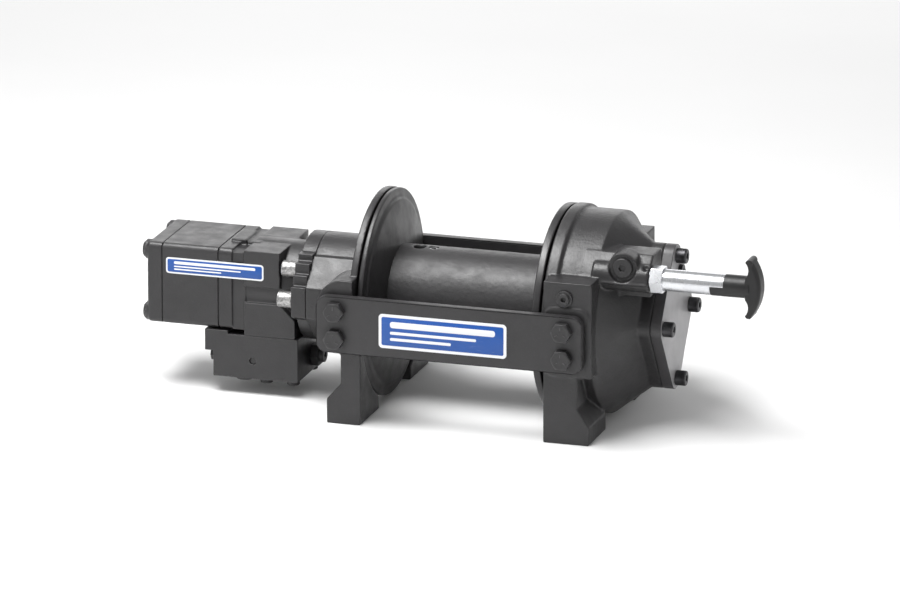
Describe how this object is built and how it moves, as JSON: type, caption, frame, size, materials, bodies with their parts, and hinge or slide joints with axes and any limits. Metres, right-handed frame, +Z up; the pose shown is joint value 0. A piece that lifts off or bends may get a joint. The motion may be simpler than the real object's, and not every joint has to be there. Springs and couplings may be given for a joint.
{
  "type": "hydraulic planetary winch",
  "caption": "Hydraulic planetary winch: gerotor motor and valve block, disc brake, flanged cable drum between end castings, tie plates, geared housing and a clutch T-handle.",
  "frame": {"origin": "centre of the rectangle of foot bolt holes, on the plane that the feet stand on", "axes": "+X along the drum towards the clutch handle, +Y to the back, +Z up"},
  "size_m": [0.6725, 0.268, 0.2185],
  "materials": {
    "housing_paint": "satin charcoal enamel on rough castings",
    "motor_paint": "satin charcoal enamel on machined castings",
    "plate_paint": "satin charcoal enamel on rolled steel",
    "drum_paint": "satin charcoal enamel on a cast drum",
    "bolt_paint": "satin charcoal enamel on forged bolt heads",
    "cover_grey": "pale grey primer",
    "raw_steel": "bare steel, slightly rough",
    "zinc": "bright zinc plate",
    "black_plastic": "moulded black plastic",
    "machined_steel": "ground and hobbed steel, oiled",
    "bronze": "sintered bronze",
    "gasket": "pressed fibre",
    "rubber": "nitrile rubber",
    "lining": "friction lining"
  },
  "bodies": {
    "frame": {"motor_end_cover": "motor_paint", "motor_cover_bolts": "motor_paint", "motor_rotor_housing": "motor_paint", "motor_gaskets": "gasket", "motor_front_housing": "motor_paint", "motor_shaft_bushes": "bronze", "motor_shaft_seal": "rubber", "motor_mount_screws": "raw_steel", "valve_block": "motor_paint", "valve_block_screws": "bolt_paint", "valve_block_plugs": "bolt_paint", "counterbalance_cartridge": "bolt_paint", "brake_housing": "housing_paint", "brake_steel_plates": "machined_steel", "brake_disc_springs": "machined_steel", "motor_side_bracket": "housing_paint", "shaft_support_bearing": "bronze", "front_tie_plate": "plate_paint", "rear_tie_plate": "plate_paint", "tie_plate_bolts": "bolt_paint", "gear_housing": "housing_paint", "drum_bushing_gear_side": "bronze", "end_cover_gasket": "gasket", "gear_end_cover": "cover_grey", "end_cover_bolts": "bolt_paint", "end_cover_plug": "bolt_paint", "shaft_end_bush": "bronze", "vent_plug": "bolt_paint", "shifter_plug": "bolt_paint", "ring_gear": "machined_steel", "clutch_tube": "zinc", "clutch_jam_nut": "zinc", "clutch_spring": "machined_steel"},
    "drum": {"drum_barrel": "drum_paint", "drum_flange_motor_side": "drum_paint", "drum_flange_gear_side": "drum_paint", "drum_bushing_motor_side": "bronze", "drum_seal_motor_side": "rubber", "rope_anchor_screw": "machined_steel", "output_carrier": "machined_steel", "output_planet_pins": "machined_steel"},
    "intermediate": {"intermediate_carrier": "machined_steel", "input_planet_pins": "machined_steel"},
    "drive_line": {"drive_shaft": "machined_steel", "motor_shaft": "machined_steel", "gerotor_inner_rotor": "machined_steel", "brake_friction_discs": "lining", "input_sun_gear": "machined_steel"},
    "gerotor_ring": {"gerotor_outer_rotor": "machined_steel"},
    "piston": {"brake_piston": "machined_steel"},
    "clutch": {"clutch_t_handle": "black_plastic", "clutch_plunger": "machined_steel"},
    "output_planet_1": {"output_planet_1": "machined_steel"},
    "output_planet_2": {"output_planet_2": "machined_steel"},
    "output_planet_3": {"output_planet_3": "machined_steel"},
    "input_planet_1": {"input_planet_1": "machined_steel"},
    "input_planet_2": {"input_planet_2": "machined_steel"},
    "input_planet_3": {"input_planet_3": "machined_steel"}
  },
  "joints": [
    {"name": "drum_spin", "type": "hinge", "parent": "frame", "child": "drum", "pos_m": [0, 0, 0.1105], "axis": [1, 0, 0], "continuous": true},
    {"name": "output_planet_1_spin", "type": "hinge", "parent": "drum", "child": "output_planet_1", "pos_m": [0.117, 0.045, 0.1105], "axis": [1, 0, 0], "continuous": true},
    {"name": "output_planet_2_spin", "type": "hinge", "parent": "drum", "child": "output_planet_2", "pos_m": [0.117, -0.0225, 0.14947], "axis": [1, 0, 0], "continuous": true},
    {"name": "output_planet_3_spin", "type": "hinge", "parent": "drum", "child": "output_planet_3", "pos_m": [0.117, -0.0225, 0.07153], "axis": [1, 0, 0], "continuous": true},
    {"name": "input_planet_1_spin", "type": "hinge", "parent": "intermediate", "child": "input_planet_1", "pos_m": [0.1415, 0.045, 0.1105], "axis": [1, 0, 0], "continuous": true},
    {"name": "input_planet_2_spin", "type": "hinge", "parent": "intermediate", "child": "input_planet_2", "pos_m": [0.1415, -0.0225, 0.14947], "axis": [1, 0, 0], "continuous": true},
    {"name": "input_planet_3_spin", "type": "hinge", "parent": "intermediate", "child": "input_planet_3", "pos_m": [0.1415, -0.0225, 0.07153], "axis": [1, 0, 0], "continuous": true},
    {"name": "intermediate_spin", "type": "hinge", "parent": "frame", "child": "intermediate", "pos_m": [0.13, 0, 0.1105], "axis": [1, 0, 0], "continuous": true},
    {"name": "drive_spin", "type": "hinge", "parent": "frame", "child": "drive_line", "pos_m": [0, 0, 0.1105], "axis": [1, 0, 0], "continuous": true},
    {"name": "gerotor_ring_spin", "type": "hinge", "parent": "frame", "child": "gerotor_ring", "pos_m": [-0.3, -0.0028, 0.1105], "axis": [1, 0, 0], "continuous": true},
    {"name": "brake_release", "type": "slide", "parent": "frame", "child": "piston", "axis": [1, 0, 0], "range_m": [0, 0.0015], "stiffness_N_per_m": 3000, "springref_m": -0.004, "deforming": ["brake_disc_springs"]},
    {"name": "clutch_pull", "type": "slide", "parent": "frame", "child": "clutch", "axis": [1, 0, 0], "range_m": [0, 0.014], "stiffness_N_per_m": 1200, "springref_m": -0.02, "deforming": ["clutch_spring"]}
  ],
  "couplings": [
    {"joint": "output_planet_1_spin", "follows": "drum_spin", "ratio": -2.6667},
    {"joint": "output_planet_2_spin", "follows": "drum_spin", "ratio": -2.6667},
    {"joint": "output_planet_3_spin", "follows": "drum_spin", "ratio": -2.6667},
    {"joint": "input_planet_1_spin", "follows": "drum_spin", "ratio": -13.333},
    {"joint": "input_planet_2_spin", "follows": "drum_spin", "ratio": -13.333},
    {"joint": "input_planet_3_spin", "follows": "drum_spin", "ratio": -13.333},
    {"joint": "intermediate_spin", "follows": "drum_spin", "ratio": 5},
    {"joint": "drive_spin", "follows": "drum_spin", "ratio": 25},
    {"joint": "gerotor_ring_spin", "follows": "drum_spin", "ratio": 21.429}
  ]
}
